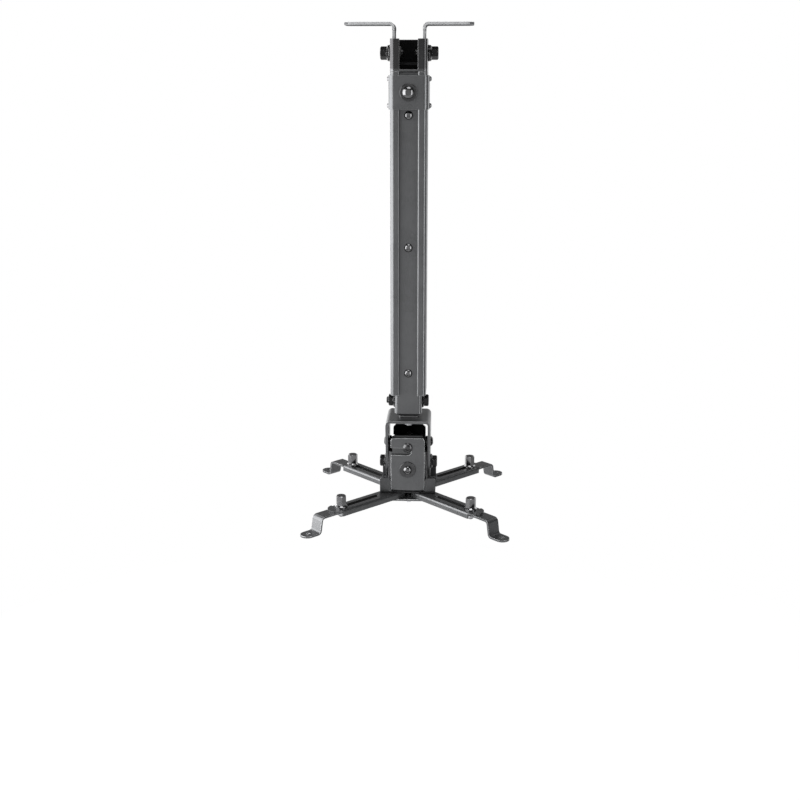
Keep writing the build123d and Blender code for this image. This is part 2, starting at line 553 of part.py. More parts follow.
# Hub bracket: U with a notch in each plate that hooks on a shoulder screw, and an arc slot below it
hub_half = HUB_D / 2
hub_line = [(-hub_half, HUB_TOP), (-hub_half, HUB_BOTTOM), (hub_half, HUB_BOTTOM), (hub_half, HUB_TOP)]
hub = across(fold(hub_line, HUB_BEND_R + HUB_T, HUB_T, Side.LEFT), Plane.YZ, HUB_W)
hub = fillet(hub.edges().filter_by(Axis.Y).group_by(Axis.Z)[-1], HUB_CORNER_R)
notch_z = GIMBAL_Z - NOTCH_DROP
notch = Pos(0, GIMBAL_Z) * Circle(NOTCH_W / 2)
notch += Pos(0, (GIMBAL_Z + notch_z) / 2) * Rectangle(NOTCH_W, NOTCH_DROP)
notch += Pos(0, notch_z) * Circle(NOTCH_W / 2)
notch += Pos(0, notch_z) * Rectangle(HUB_W, NOTCH_W, align=(Align.MAX, Align.CENTER))
hub -= across(notch, Plane.XZ, 2 * HUB_D)
roll_arc = CenterArc((0, GIMBAL_Z), ROLL_LOCK_R, -90 - ROLL_LIMIT, 2 * ROLL_LIMIT)
hub -= across(SlotArc(roll_arc, M6 + 2 * SLIDE_GAP), Plane.XZ, 2 * HUB_D)
hub_web_top = HUB_BOTTOM + HUB_T
hub -= rod((0, 0, HUB_BOTTOM - CUT_PAST), (0, 0, hub_web_top + CUT_PAST), M8 + 2 * HOLE_GAP)
pieces["hub_bracket"] = hub

# Hub tray: plate under the hub bracket, its wings turned up on both sides of the bracket's plates
wing_top = TRAY_BOTTOM + WING_H
tray_line = [(-hub_half, wing_top), (-hub_half, TRAY_BOTTOM), (hub_half, TRAY_BOTTOM), (hub_half, wing_top)]
tray = across(fold(tray_line, TRAY_BEND_R + TRAY_T, TRAY_T, Side.LEFT), Plane.YZ, TRAY_W)
gap_shape = Rectangle(HUB_W + 2 * WING_GAP, 2 * WING_H, align=(Align.CENTER, Align.MIN))
tray -= across(Pos(0, HUB_BOTTOM) * gap_shape, Plane.XZ, 2 * HUB_D)
tray = fillet(tray.edges().filter_by(Axis.Y).group_by(Axis.Z)[-1], WING_CORNER_R)
tray_low = TRAY_BOTTOM - CUT_PAST
tray_high = HUB_BOTTOM + CUT_PAST
tray -= rod((0, 0, tray_low), (0, 0, tray_high), M8 + 2 * HOLE_GAP)
pivot_points = [(ARM_PIVOT_R * cos(radians(a)), ARM_PIVOT_R * sin(radians(a))) for a in QUARTERS.values()]
for x, y in pivot_points:
    tray -= rod((x, y, tray_low), (x, y, tray_high), ARM_PIVOT_D + 2 * PIN_GAP)
pieces["hub_tray"] = tray

# Hub plate: under the arms, held off the tray by a spacer on the hub bolt
plate_holes = [Pos(x, y) * Circle(ARM_PIVOT_D / 2 + PIN_GAP) for x, y in pivot_points]
plate_shape = RectangleRounded(HUB_PLATE_W, HUB_D, HUB_PLATE_CORNER_R) - plate_holes
plate_shape -= Circle(M8 / 2 + HOLE_GAP)
pieces["hub_plate"] = upright(plate_shape, HUB_PLATE_BOTTOM, HUB_PLATE_TOP)
spacer_shape = Circle(HUB_SPACER_D / 2) - Circle(M8 / 2 + HOLE_GAP)
pieces["hub_spacer"] = upright(spacer_shape, HUB_PLATE_TOP, TRAY_BOTTOM)
hub_shank = hub_web_top - HUB_PLATE_BOTTOM + M8_HEAD_H + BOLT_END
hub_bolt = hex_head(M8_FLATS, HEX_HEAD_H) + shank(M8, hub_shank)
pieces["hub_bolt"] = placed(hub_bolt, (0, 0, hub_web_top), (0, 0, 1))
pieces["hub_nut"] = placed(cross_nut, (0, 0, HUB_PLATE_BOTTOM), (0, 0, -1))

# Arm pivots: pins riveted in tray and plate, an arm turning on each
pieces["arm_pivots"] = group(
    rod((x, y, HUB_PLATE_BOTTOM), (x, y, HUB_BOTTOM), ARM_PIVOT_D) for x, y in pivot_points
)


def make_arm():
    """One arm along +X: slotted web with a rounded end, side walls turned down."""
    half = ARM_W / 2
    line = [(-half, ARM_TOP - ARM_H), (-half, ARM_TOP), (half, ARM_TOP), (half, ARM_TOP - ARM_H)]
    section = fold(line, ARM_BEND_R + ARM_T, ARM_T, Side.RIGHT)
    arm = extrude(Plane.YZ.offset(ARM_ROOT_R) * section, amount=ARM_WALL_R - ARM_ROOT_R)
    tip = Pos(ARM_WALL_R, 0) * Circle(half)
    tip &= Pos(ARM_WALL_R, 0) * Rectangle(ARM_W, ARM_W, align=(Align.MIN, Align.CENTER))
    arm += upright(tip, ARM_WEB_BOTTOM, ARM_TOP)
    slot_len = ARM_SLOT_END - ARM_SLOT_START
    slot = Pos((ARM_SLOT_START + ARM_SLOT_END) / 2, 0) * SlotOverall(slot_len, M6 + 2 * SLIDE_GAP)
    arm -= upright(slot, ARM_WEB_BOTTOM - CUT_PAST, ARM_TOP + CUT_PAST)
    pivot = Pos(ARM_PIVOT_R, 0) * Circle(ARM_PIVOT_D / 2 + PIN_GAP)
    return arm - upright(pivot, ARM_WEB_BOTTOM - CUT_PAST, ARM_TOP + CUT_PAST)


def make_leg():
    """One leg along +X: strip under the arm, drop, and round-ended foot."""
    half = LEG_W / 2
    tip = FOOT_R + half
    line = [
        (LEG_BOLT_R - LEG_LAP, LEG_TOP), (LEG_DROP_R, LEG_TOP),
        (LEG_DROP_R + LEG_LEAN, FOOT_TOP), (tip, FOOT_TOP),
    ]
    leg = across(fold(line, [LEG_BEND_R + LEG_T, LEG_BEND_R], LEG_T, Side.RIGHT), Plane.XZ, LEG_W)
    plan = Pos(FOOT_R, 0) * (Circle(half) + Rectangle(FOOT_R, LEG_W, align=(Align.MAX, Align.CENTER)))
    leg &= upright(plan, FOOT_TOP - 2 * LEG_T, ARM_TOP)
    leg -= upright(Pos(LEG_BOLT_R, 0) * Circle(M6 / 2 + HOLE_GAP), LEG_STRIP_BOTTOM - CUT_PAST, ARM_TOP)
    return leg - upright(Pos(FOOT_R, 0) * Circle(FOOT_HOLE_D / 2), FOOT_TOP - 2 * LEG_T, LEG_TOP)


# Arms and legs: the same four pieces at each quarter
arm = make_arm()
leg = make_leg()
leg_bolt_seat = ARM_TOP + FACE_GAP
leg_shank = leg_bolt_seat - LEG_STRIP_BOTTOM + M6_NUT_H + BOLT_END
leg_bolt = flange_head(TALL_HEAD_FLATS, TALL_HEAD_H, TALL_FLANGE_D) + shank(M6, leg_shank)
leg_bolt = Pos(LEG_BOLT_R, 0, leg_bolt_seat) * leg_bolt
leg_nut = placed(small_nut, (LEG_BOLT_R, 0, LEG_STRIP_BOTTOM), (0, 0, -1))
for quarter, angle in QUARTERS.items():
    turn = Rot(0, 0, angle)
    pieces[f"arm_{quarter}"] = turn * arm
    pieces[f"leg_{quarter}"] = turn * leg
    pieces[f"leg_bolt_{quarter}"] = turn * leg_bolt
    pieces[f"leg_nut_{quarter}"] = turn * leg_nut

os.makedirs("parts", exist_ok=True)
for name, piece in pieces.items():
    export_step(piece, f"parts/{name}.step")
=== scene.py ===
import json
from math import cos, radians, sin

import bpy
from mathutils import Euler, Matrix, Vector

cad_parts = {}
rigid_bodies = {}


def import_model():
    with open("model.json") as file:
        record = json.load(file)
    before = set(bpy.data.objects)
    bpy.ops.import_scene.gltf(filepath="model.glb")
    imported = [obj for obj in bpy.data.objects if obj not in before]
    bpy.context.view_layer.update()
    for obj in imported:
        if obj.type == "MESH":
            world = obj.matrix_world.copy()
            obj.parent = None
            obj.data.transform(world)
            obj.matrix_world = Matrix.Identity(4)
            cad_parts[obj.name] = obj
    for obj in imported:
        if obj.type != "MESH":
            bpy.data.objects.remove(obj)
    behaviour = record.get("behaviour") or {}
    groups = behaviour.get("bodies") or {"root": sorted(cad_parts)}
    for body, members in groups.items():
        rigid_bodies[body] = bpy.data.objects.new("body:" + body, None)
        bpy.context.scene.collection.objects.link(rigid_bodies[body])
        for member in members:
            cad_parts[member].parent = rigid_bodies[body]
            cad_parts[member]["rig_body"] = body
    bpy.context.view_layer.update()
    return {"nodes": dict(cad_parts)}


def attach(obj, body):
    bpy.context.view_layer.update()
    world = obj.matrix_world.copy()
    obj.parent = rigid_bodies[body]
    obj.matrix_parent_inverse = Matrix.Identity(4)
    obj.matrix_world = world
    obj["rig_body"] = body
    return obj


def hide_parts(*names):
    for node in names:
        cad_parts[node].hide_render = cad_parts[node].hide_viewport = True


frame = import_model()
bpy.context.scene.view_settings.view_transform = "Standard"


# Ceiling bracket. One strip of 3 mm steel folded to a hat and screwed to the ceiling through the slots in
# its flanges. It is tumbled and powder coated in gunmetal grey. Its front and back cut edges are lighter,
# partly a thinner coat there and partly painted light, and the part that turns inside the tilt head is
# painted black as painted shade.
MM = 0.001
BRACKET_GREY = (0.10, 0.101, 0.104, 1)
BRACKET_EDGE = (0.28, 0.283, 0.288, 1)
BRACKET_CORE = 11 * MM      # half width of the strip that holds its slots and holes
BRACKET_TIP = 70 * MM       # its reach to the ends of the slots
# painted shade: black on the part of the bracket inside the dark tilt head
PAINTED_SHADE_BLACK = (0.010, 0.010, 0.0105, 1)
SHADE_TOP_DROP = 0.5 * MM        # upper edge of the painted shade, below the tilt bolts' axis
SHEET_EDGE = 0.45 * MM      # rounding of a sheet's cut edges
SQUARE_ON = 0.9             # share of a normal along an axis, for a face that looks along it
COLOUR = "NodeSocketColor"
VALUE = "NodeSocketFloat"


def add_node(tree, kind, **inputs):
    """A shader node with values for its sockets, by name."""
    node = tree.nodes.new(kind)
    for name, value in inputs.items():
        node.inputs[name.replace("_", " ")].default_value = value
    return node


def feed(tree, socket, value):
    """Gives a socket a linked or a plain value."""
    if isinstance(value, bpy.types.NodeSocket):
        tree.links.new(value, socket)
    else:
        socket.default_value = value


def noise(tree, scale, detail, roughness=0.5):
    """Noise on the piece's own coordinates, in features per metre."""
    spot = tree.nodes.new("ShaderNodeTexCoord")
    texture = add_node(tree, "ShaderNodeTexNoise", Scale=scale, Detail=detail, Roughness=roughness)
    tree.links.new(spot.outputs["Object"], texture.inputs["Vector"])
    return texture.outputs["Fac"]


def spread(tree, value, low, high, start=0.3, end=0.7):
    """Maps a value onto a range, by default from the middle of a noise, where most of it lies."""
    remap = add_node(tree, "ShaderNodeMapRange", From_Min=start, From_Max=end, To_Min=low, To_Max=high)
    tree.links.new(value, remap.inputs["Value"])
    return remap.outputs["Result"]


def swing(tree, value, reach):
    """Maps a noise onto a range round 0."""
    return spread(tree, value, -reach, reach)


def combine(tree, operation, first, second):
    """A math node's result."""
    node = tree.nodes.new("ShaderNodeMath")
    node.operation = operation
    for socket, value in zip(node.inputs, (first, second)):
        feed(tree, socket, value)
    return node.outputs["Value"]


def mixed(tree, factor, first, second, blend="MIX"):
    """A mix node's colour."""
    node = tree.nodes.new("ShaderNodeMix")
    node.data_type = "RGBA"
    node.blend_type = blend
    for name, value in (("Factor", factor), ("A", first), ("B", second)):
        feed(tree, node.inputs[name], value)
    return node.outputs["Result"]


def new_group(name, inputs, outputs):
    """An empty shader node group with its sockets, and the nodes at its two ends."""
    group = bpy.data.node_groups.new(name, "ShaderNodeTree")
    for label, kind in inputs.items():
        group.interface.new_socket(label, in_out="INPUT", socket_type=kind)
    for label, kind in outputs.items():
        group.interface.new_socket(label, in_out="OUTPUT", socket_type=kind)
    return group, group.nodes.new("NodeGroupInput"), group.nodes.new("NodeGroupOutput")


CLOUDS_PER_M = 38
PEEL_PER_M = 900
GRAINS_PER_M = 3800
CLOUD_ROUGHNESS = 0.02      # change of the roughness by clouds, and by grains
GRAIN_ROUGHNESS = 0.03
GRAIN_HEIGHT = 0.25         # height of the grains, as a share of the peel's


def make_powder_coat_group():
    """Baked powder coat: orange peel, a faint cloudiness and fine metallic grains."""
    group, inlet, outlet = new_group(
        "powder_coat",
        {"Colour": COLOUR, "Gloss": VALUE, "Cloud": VALUE, "Grain": VALUE},
        {"Colour": COLOUR, "Roughness": VALUE, "Height": VALUE},
    )
    cloud = noise(group, CLOUDS_PER_M, detail=5, roughness=0.6)
    peel = noise(group, PEEL_PER_M, detail=2)
    grain = noise(group, GRAINS_PER_M, detail=1)
    cloud_tone = combine(group, "MULTIPLY", swing(group, cloud, 1), inlet.outputs["Cloud"])
    grain_tone = combine(group, "MULTIPLY", swing(group, grain, 1), inlet.outputs["Grain"])
    tone = combine(group, "ADD", combine(group, "ADD", cloud_tone, grain_tone), 1)
    feed(group, outlet.inputs["Colour"], mixed(group, 1, inlet.outputs["Colour"], tone, "MULTIPLY"))
    rough = combine(group, "ADD", inlet.outputs["Gloss"], swing(group, cloud, CLOUD_ROUGHNESS))
    rough = combine(group, "ADD", rough, swing(group, grain, GRAIN_ROUGHNESS))
    feed(group, outlet.inputs["Roughness"], rough)
    height = combine(group, "ADD", peel, combine(group, "MULTIPLY", grain, GRAIN_HEIGHT))
    feed(group, outlet.inputs["Height"], height)
    return group


RIM_PATCHES_PER_M = 160
RIM_RANGE = (0.85, 1.1)     # unevenness of the lighter rims, from thick to thin coat
RIM_ROUGHNESS = (0.26, 0.42)


def make_edge_wear_and_highlight_group():
    """Edge of a coated sheet: lighter and uneven there, partly a thin worn coat and partly painted highlight.
    """
    group, inlet, outlet = new_group(
        "edge_wear_and_highlight",
        {"Coat": COLOUR, "Rubbed": COLOUR, "Amount": VALUE},
        {"Colour": COLOUR, "Roughness": VALUE},
    )
    patches = noise(group, RIM_PATCHES_PER_M, detail=6, roughness=0.65)
    uneven = spread(group, patches, *RIM_RANGE, start=0.35, end=0.65)
    mask = combine(group, "MULTIPLY", uneven, inlet.outputs["Amount"])
    lightened = mixed(group, mask, inlet.outputs["Coat"], inlet.outputs["Rubbed"])
    feed(group, outlet.inputs["Colour"], lightened)
    feed(group, outlet.inputs["Roughness"], spread(group, patches, *RIM_ROUGHNESS))
    return group


powder_coat = make_powder_coat_group()
edge_wear_and_highlight = make_edge_wear_and_highlight_group()
PEEL_BUMP = 0.06
PEEL_DEPTH = 0.03 * MM


def new_material(name, specular=0.5, metallic=0.0):
    """A material, its node tree and its Principled shader."""
    material = bpy.data.materials.new(name)
    material.use_nodes = True
    shader = material.node_tree.nodes["Principled BSDF"]
    shader.inputs["Specular IOR Level"].default_value = specular
    shader.inputs["Metallic"].default_value = metallic
    return material, material.node_tree, shader


def lay_finish(tree, shader, finish, **values):
    """Places a finish's node group with its values, and takes colour and roughness from it."""
    node = tree.nodes.new("ShaderNodeGroup")
    node.node_tree = finish
    for name, value in values.items():
        node.inputs[name].default_value = value
    tree.links.new(node.outputs["Colour"], shader.inputs["Base Color"])
    tree.links.new(node.outputs["Roughness"], shader.inputs["Roughness"])
    return node


def bumped(tree, shader, height, strength, depth):
    """Bump on the shader's normal, its depth in metres."""
    bump = add_node(tree, "ShaderNodeBump", Strength=strength, Distance=depth)
    tree.links.new(height, bump.inputs["Height"])
    tree.links.new(bump.outputs["Normal"], shader.inputs["Normal"])


def face_coat(name, colour, gloss, mottle, **plain):
    """The powder coat of a sheet's faces."""
    material, tree, shader = new_material(name, **plain)
    coat = lay_finish(tree, shader, powder_coat, Colour=colour, Gloss=gloss, Cloud=mottle, Grain=mottle)
    bumped(tree, shader, coat.outputs["Height"], PEEL_BUMP, PEEL_DEPTH)
    return material


def edge_coat(name, colour, lightened, lighten, **plain):
    """The lighter coat of its edges: thinner there, and partly painted highlight."""
    material, tree, shader = new_material(name, **plain)
    lay_finish(tree, shader, edge_wear_and_highlight, Coat=colour, Rubbed=lightened, Amount=lighten)
    return material


COLOUR_FADE = 1 * MM          # half the height over which one coat passes into the other


def colour_below(material, lower_colour, top):
    """Another colour on the part of a piece that lies under a height."""
    tree = material.node_tree
    coloured = tree.nodes["Principled BSDF"].inputs["Base Color"]
    spot = tree.nodes.new("ShaderNodeTexCoord")
    axes = tree.nodes.new("ShaderNodeSeparateXYZ")
    tree.links.new(spot.outputs["Object"], axes.inputs["Vector"])
    under = spread(tree, axes.outputs["Z"], 1, 0, top - COLOUR_FADE, top + COLOUR_FADE)
    tree.links.new(mixed(tree, under, coloured.links[0].from_socket, lower_colour), coloured)


def heights(node_name):
    """The lowest and the highest point of a CAD piece."""
    levels = [vertex.co.z for vertex in frame["nodes"][node_name].data.vertices]
    return min(levels), max(levels)


MERGE_GAP = 0.002 * MM      # points of a CAD mesh that are nearer than this are one
FLAT_ANGLE = radians(0.3)   # faces that turn by less are one face
SHARP_ANGLE = radians(32)   # edges that turn by more are rounded
EDGE_STEPS = 2


def edged_copy(node_name, width, materials):
    """The CAD piece with its sharp edges rounded, in the last material. It stands for the node."""
    node = frame["nodes"][node_name]
    bpy.ops.object.select_all(action="DESELECT")
    piece = bpy.data.objects.new(node_name + "_edged", node.data.copy())
    bpy.context.scene.collection.objects.link(piece)
    bpy.context.view_layer.objects.active = piece
    piece.select_set(True)
    piece.data.materials.clear()
    for material in materials:
        piece.data.materials.append(material)
    bpy.ops.object.mode_set(mode="EDIT")
    bpy.ops.mesh.select_all(action="SELECT")
    bpy.ops.mesh.customdata_custom_splitnormals_clear()
    bpy.ops.mesh.remove_doubles(threshold=MERGE_GAP)
    bpy.ops.mesh.dissolve_limited(angle_limit=FLAT_ANGLE)
    bpy.ops.object.mode_set(mode="OBJECT")
    bpy.ops.object.shade_smooth()
    bevel = piece.modifiers.new("edges", "BEVEL")
    bevel.width = width
    bevel.segments = EDGE_STEPS
    bevel.limit_method = "ANGLE"
    bevel.angle_limit = SHARP_ANGLE
    bevel.material = len(materials) - 1
    bpy.ops.object.modifier_apply(modifier=bevel.name)
    weighted = piece.modifiers.new("normals", "WEIGHTED_NORMAL")
    bpy.ops.object.modifier_apply(modifier=weighted.name)
    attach(piece, node["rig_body"])
    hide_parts(node_name)
    return piece


bracket_coat = (
    face_coat("bracket_coat", BRACKET_GREY, gloss=0.5, mottle=0.10, specular=0.0),
    edge_coat("bracket_coat_edge", BRACKET_GREY, BRACKET_EDGE, lighten=0.9, specular=0.0),
)
# Painted shade: the bracket's coat turns black below the tilt bolts' axis, inside the tilt head.
shade_top = sum(heights("tilt_bolts")) / 2 - SHADE_TOP_DROP
for material in bracket_coat:
    colour_below(material, PAINTED_SHADE_BLACK, shade_top)
bracket = edged_copy("ceiling_bracket", SHEET_EDGE, bracket_coat)
for face in bracket.data.polygons:
    if abs(face.center.x) < BRACKET_TIP and abs(face.center.y) < BRACKET_CORE:
        face.material_index = 0     # edges of the ceiling slots and bolt holes
    elif abs(face.normal.y) > SQUARE_ON:
        face.material_index = 1     # cut edges at the front and back, lighter: a thinner coat and painted light


# Tilt bolts, their washers, and the nuts welded inside the bracket's legs. Forged hex flange bolts in black
# oxide, bright on the edges of their heads, partly worn and partly painted highlight, and phosphated nuts.
# The column tilts on them until they are tightened.
BOLT_BLACK = (0.020, 0.020, 0.0205, 1)
BOLT_EDGE = (0.22, 0.22, 0.225, 1)
PHOSPHATE_GREY = (0.05, 0.05, 0.05, 1)
HEAD_EDGE = 0.25 * MM       # rounding of a bolt head's edges
STAINS_PER_M = 210
MARKS_PER_M = 2600
STAIN_ROUGHNESS = 0.08      # change of the roughness by stains, and by marks
MARK_ROUGHNESS = 0.04
MARK_TONE = 0.07            # change of the colour by marks
MARK_BUMP = 0.35
MARK_DEPTH = 0.02 * MM


def make_machined_group():
    """Turned or forged metal: fine marks along the surface and a little staining."""
    group, inlet, outlet = new_group(
        "machined",
        {"Colour": COLOUR, "Gloss": VALUE, "Stain": VALUE},
        {"Colour": COLOUR, "Roughness": VALUE, "Height": VALUE},
    )
    stain = noise(group, STAINS_PER_M, detail=5, roughness=0.6)
    marks = noise(group, MARKS_PER_M, detail=3, roughness=0.7)
    stain_tone = combine(group, "MULTIPLY", swing(group, stain, 1), inlet.outputs["Stain"])
    tone = combine(group, "ADD", stain_tone, spread(group, marks, 1 - MARK_TONE, 1 + MARK_TONE))
    feed(group, outlet.inputs["Colour"], mixed(group, 1, inlet.outputs["Colour"], tone, "MULTIPLY"))
    rough = combine(group, "ADD", inlet.outputs["Gloss"], swing(group, stain, STAIN_ROUGHNESS))
    rough = combine(group, "ADD", rough, swing(group, marks, MARK_ROUGHNESS))
    feed(group, outlet.inputs["Roughness"], rough)
    feed(group, outlet.inputs["Height"], marks)
    return group


machined = make_machined_group()


def metal_finish(name, colour, gloss, stain, metallic):
    """A plated or blackened metal."""
    material, tree, shader = new_material(name, metallic=metallic)
    finish = lay_finish(tree, shader, machined, Colour=colour, Gloss=gloss, Stain=stain)
    bumped(tree, shader, finish.outputs["Height"], MARK_BUMP, MARK_DEPTH)
    return material


bolt_black = metal_finish("black_oxide", BOLT_BLACK, gloss=0.24, stain=0.2, metallic=0.8)
# bright rims of the heads: wear and painted highlight
bolt_rim_worn_and_lit = metal_finish("black_oxide_edge", BOLT_EDGE, gloss=0.24, stain=0.3, metallic=0.8)
weld_nut = metal_finish("phosphated_nut", PHOSPHATE_GREY, gloss=0.5, stain=0.3, metallic=0.6)
for node_name in ("tilt_bolts", "tilt_washers"):
    edged_copy(node_name, HEAD_EDGE, (bolt_black, bolt_rim_worn_and_lit))
edged_copy("tilt_nuts", HEAD_EDGE, (weld_nut,))


# Tilt head. A short C of the column's own section with a floor, welded on the column's top. It is coated
# in glossy black, with a lighter grey band painted at its foot as painted light, and flat black inside, where
# the bracket's legs stand, as painted shade.
HEAD_BLACK = (0.048, 0.048, 0.0495, 1)
# lighter rims of the black coat: edge wear and painted highlight lines
HEAD_RIM = (0.20, 0.202, 0.206, 1)
# painted shade: flat black on inside faces, where little light reaches
INSIDE_SHADE_BLACK = (0.006, 0.006, 0.0063, 1)
LIT_BAND_GREY = (0.105, 0.1065, 0.1095, 1)
LIT_BAND_HEIGHT = 2.6 * MM        # height of the painted lighter band, from the column's top
BLACK_SHEEN = {"specular": 0.25, "metallic": 0.9}
BLACK_GLOSS = 0.22
MOTTLE = 0.08               # clouds and grains in the smooth coats


def repaint(piece, is_meant, material=1):
    """Gives faces of a piece another of its materials. The test takes a face's centre and normal."""
    for face in piece.data.polygons:
        if face.material_index == 0 and is_meant(face.center, face.normal):
            face.material_index = material


def is_inside(spot, normal):
    """True for a face that looks toward the column's axis, or up from a floor."""
    return normal.x * spot.x + normal.y * spot.y < -MM or normal.z > SQUARE_ON


black_coat = face_coat("black_coat", HEAD_BLACK, gloss=BLACK_GLOSS, mottle=MOTTLE, **BLACK_SHEEN)
black_rim = edge_coat("black_coat_edge", HEAD_BLACK, HEAD_RIM, lighten=0.5, **BLACK_SHEEN)
painted_shade = face_coat("painted_shade", INSIDE_SHADE_BLACK, gloss=0.7, mottle=0.15, specular=0.1)
# painted light: a lighter grey band at the head's foot, over the column's top
colour_below(black_coat, LIT_BAND_GREY, heights("outer_column")[1] + LIT_BAND_HEIGHT)
head = edged_copy("tilt_head", SHEET_EDGE, (black_coat, painted_shade, black_rim))
# Painted shade: the faces inside the head and the floor's top turn flat black.
repaint(head, is_inside)


# Outer column. A C-channel rolled from 2.3 mm sheet, open at the front with its lips turned inward,
# in satin graphite powder coat with a fine metallic grain.
GRAPHITE = (0.095, 0.0965, 0.0995, 1)
# lighter rims: edge wear and painted highlight lines along the edges
GRAPHITE_EDGE = (0.50, 0.505, 0.515, 1)
GRAPHITE_GLOSS = 0.30
GRAPHITE_METAL = 0.8        # share of metal flakes in the coat
graphite_face = face_coat(
    "graphite_coat", GRAPHITE, gloss=GRAPHITE_GLOSS, mottle=MOTTLE, metallic=GRAPHITE_METAL,
)
graphite_rim = edge_coat(
    "graphite_coat_edge", GRAPHITE, GRAPHITE_EDGE, lighten=0.5, metallic=GRAPHITE_METAL,
)
graphite_coat = (graphite_face, graphite_rim)
edged_copy("outer_column", SHEET_EDGE, graphite_coat)


# Glides. Moulded black nylon pads, glued in the channel's lower end and on the inner tube's upper
# end, that keep the two from rattling.
NYLON_BLACK = (0.020, 0.020, 0.021, 1)
PITS_PER_M = 1400
PIT_TONE = (0.8, 1.25)      # change of the colour by pits, and their roughness
PIT_ROUGHNESS = (0.48, 0.62)
PIT_BUMP = 0.3
PIT_DEPTH = 0.03 * MM
nylon, tree, shader = new_material("nylon", specular=0.4)
pits = noise(tree, PITS_PER_M, detail=4)
pitted = mixed(tree, 1, NYLON_BLACK, spread(tree, pits, *PIT_TONE), "MULTIPLY")
tree.links.new(pitted, shader.inputs["Base Color"])
tree.links.new(spread(tree, pits, *PIT_ROUGHNESS), shader.inputs["Roughness"])
bumped(tree, shader, pits, PIT_BUMP, PIT_DEPTH)
for node_name in ("lower_glides", "upper_glides"):
    edged_copy(node_name, HEAD_EDGE, (nylon,))


# Inner column. Drawn square tube in the same coat, drilled for its bolts, with three pan-head screws
# in dark nickel on its front face that run in the channel's slot.
SCREW_STEEL = (0.13, 0.13, 0.133, 1)
bright_screw = metal_finish("dark_nickel", SCREW_STEEL, gloss=0.16, stain=0.15, metallic=1.0)
edged_copy("inner_column", SHEET_EDGE, graphite_coat)
edged_copy("column_screws", HEAD_EDGE, (bright_screw,))


# Clamp collar. A band of 1.5 mm sheet round the channel with four small side screws, drawn against
# the channel's lips by the height lock bolt, its washer and the zinc-plated nut inside the inner tube.
WASHER_STEEL = (0.07, 0.07, 0.072, 1)
ZINC_GREY = (0.48, 0.485, 0.5, 1)
WASHER_EDGE = 0.6 * MM      # rounding of a pressed washer's rim
dark_washer = metal_finish("dark_nickel_washer", WASHER_STEEL, gloss=0.3, stain=0.15, metallic=1.0)
zinc = metal_finish("zinc_plate", ZINC_GREY, gloss=0.32, stain=0.12, metallic=1.0)
edged_copy("clamp_collar", SHEET_EDGE, graphite_coat)
for node_name in ("collar_screws", "height_lock_bolt"):
    edged_copy(node_name, HEAD_EDGE, (bright_screw,))
edged_copy("height_lock_washer", WASHER_EDGE, (dark_washer,))
edged_copy("height_lock_nut", HEAD_EDGE, (zinc,))


# Column insert and swivel. A moulded plug with a lighter rim, pinned in the tube's end by the cross bolt.
# The swivel bolt's head lies in it, and the yoke turns on that zinc-plated bolt between the plug's nose
# and a washer.
RIM_GREY = (0.16, 0.16, 0.163, 1)
RIM_HEIGHT = 2.1 * MM       # of the rim, from the insert's lower end
UPRIGHT = 0.3               # largest share of a normal along the column, for a face that stands upright
insert_rim = metal_finish("filled_nylon_rim", RIM_GREY, gloss=0.3, stain=0.15, metallic=0.5)
insert = edged_copy("column_insert", HEAD_EDGE, (nylon, insert_rim, nylon))
rim_top = heights("column_insert")[0] + RIM_HEIGHT
repaint(insert, lambda spot, normal: spot.z < rim_top and abs(normal.z) < UPRIGHT)
for node_name in ("swivel_bolt", "swivel_washer", "swivel_nut"):
    edged_copy(node_name, HEAD_EDGE, (zinc,))
for node_name in ("cross_bolt", "cross_nut"):
    edged_copy(node_name, HEAD_EDGE, (bolt_black, bolt_rim_worn_and_lit))


# Swivel yoke and tilt box. Two frames folded from 3 mm and 2.5 mm sheet that nest in each other. The box is
# black, with flat black painted shade and welded nuts inside; its front and back faces are grey below the hub
# bracket's top and black above it, where the black is painted shade. Side bolts in the yoke's arc slots lock
# the pitch, and screws at the front and back the roll.
BOX_FACE_GREY = (0.085, 0.086, 0.088, 1)
SHADE_LINE_DROP = 1 * MM         # upper edge of the grey, below the hub bracket's top; above it black as painted shade
box_coat = face_coat("box_coat", HEAD_BLACK, gloss=BLACK_GLOSS, mottle=MOTTLE, **BLACK_SHEEN)
box_face_shaded_above = face_coat(
    "box_face_shaded_above", HEAD_BLACK, gloss=GRAPHITE_GLOSS, mottle=MOTTLE, metallic=GRAPHITE_METAL,
)
colour_below(box_face_shaded_above, BOX_FACE_GREY, heights("hub_bracket")[1] - SHADE_LINE_DROP)
edged_copy("swivel_yoke", SHEET_EDGE, graphite_coat)
box = edged_copy("tilt_box", SHEET_EDGE, (box_coat, painted_shade))
box.data.materials.append(box_face_shaded_above)
# painted shade: flat black inside the box
repaint(box, is_inside)
# front and back faces: grey, painted black as shade above the hub's top
repaint(box, lambda spot, normal: abs(normal.y) > SQUARE_ON, material=2)
for node_name in ("box_nuts_small", "box_nuts_large"):
    edged_copy(node_name, HEAD_EDGE, (weld_nut,))
for node_name in ("pitch_lock_bolts", "pitch_pivot_screws"):
    edged_copy(node_name, HEAD_EDGE, (bolt_black, bolt_rim_worn_and_lit))
edged_copy("roll_lock_screws", HEAD_EDGE, (bright_screw,))
edged_copy("roll_pivot_screws", HEAD_EDGE, (dark_washer,))
edged_copy("roll_lock_washers", WASHER_EDGE, (dark_washer,))


# Hub. A U bracket that hangs by its notches on the roll screws, and under it a tray, painted darker as shade,
# with four upturned wings and a plate, held by one bolt. Four pins riveted in tray and plate carry the arms
# between them.
HUB_EDGE = 0.8 * MM         # its blanks are tumbled longer than the others
# painted shade: the tray and its wings darker than the hub bracket
TRAY_SHADE_GREY = (0.066, 0.067, 0.069, 1)
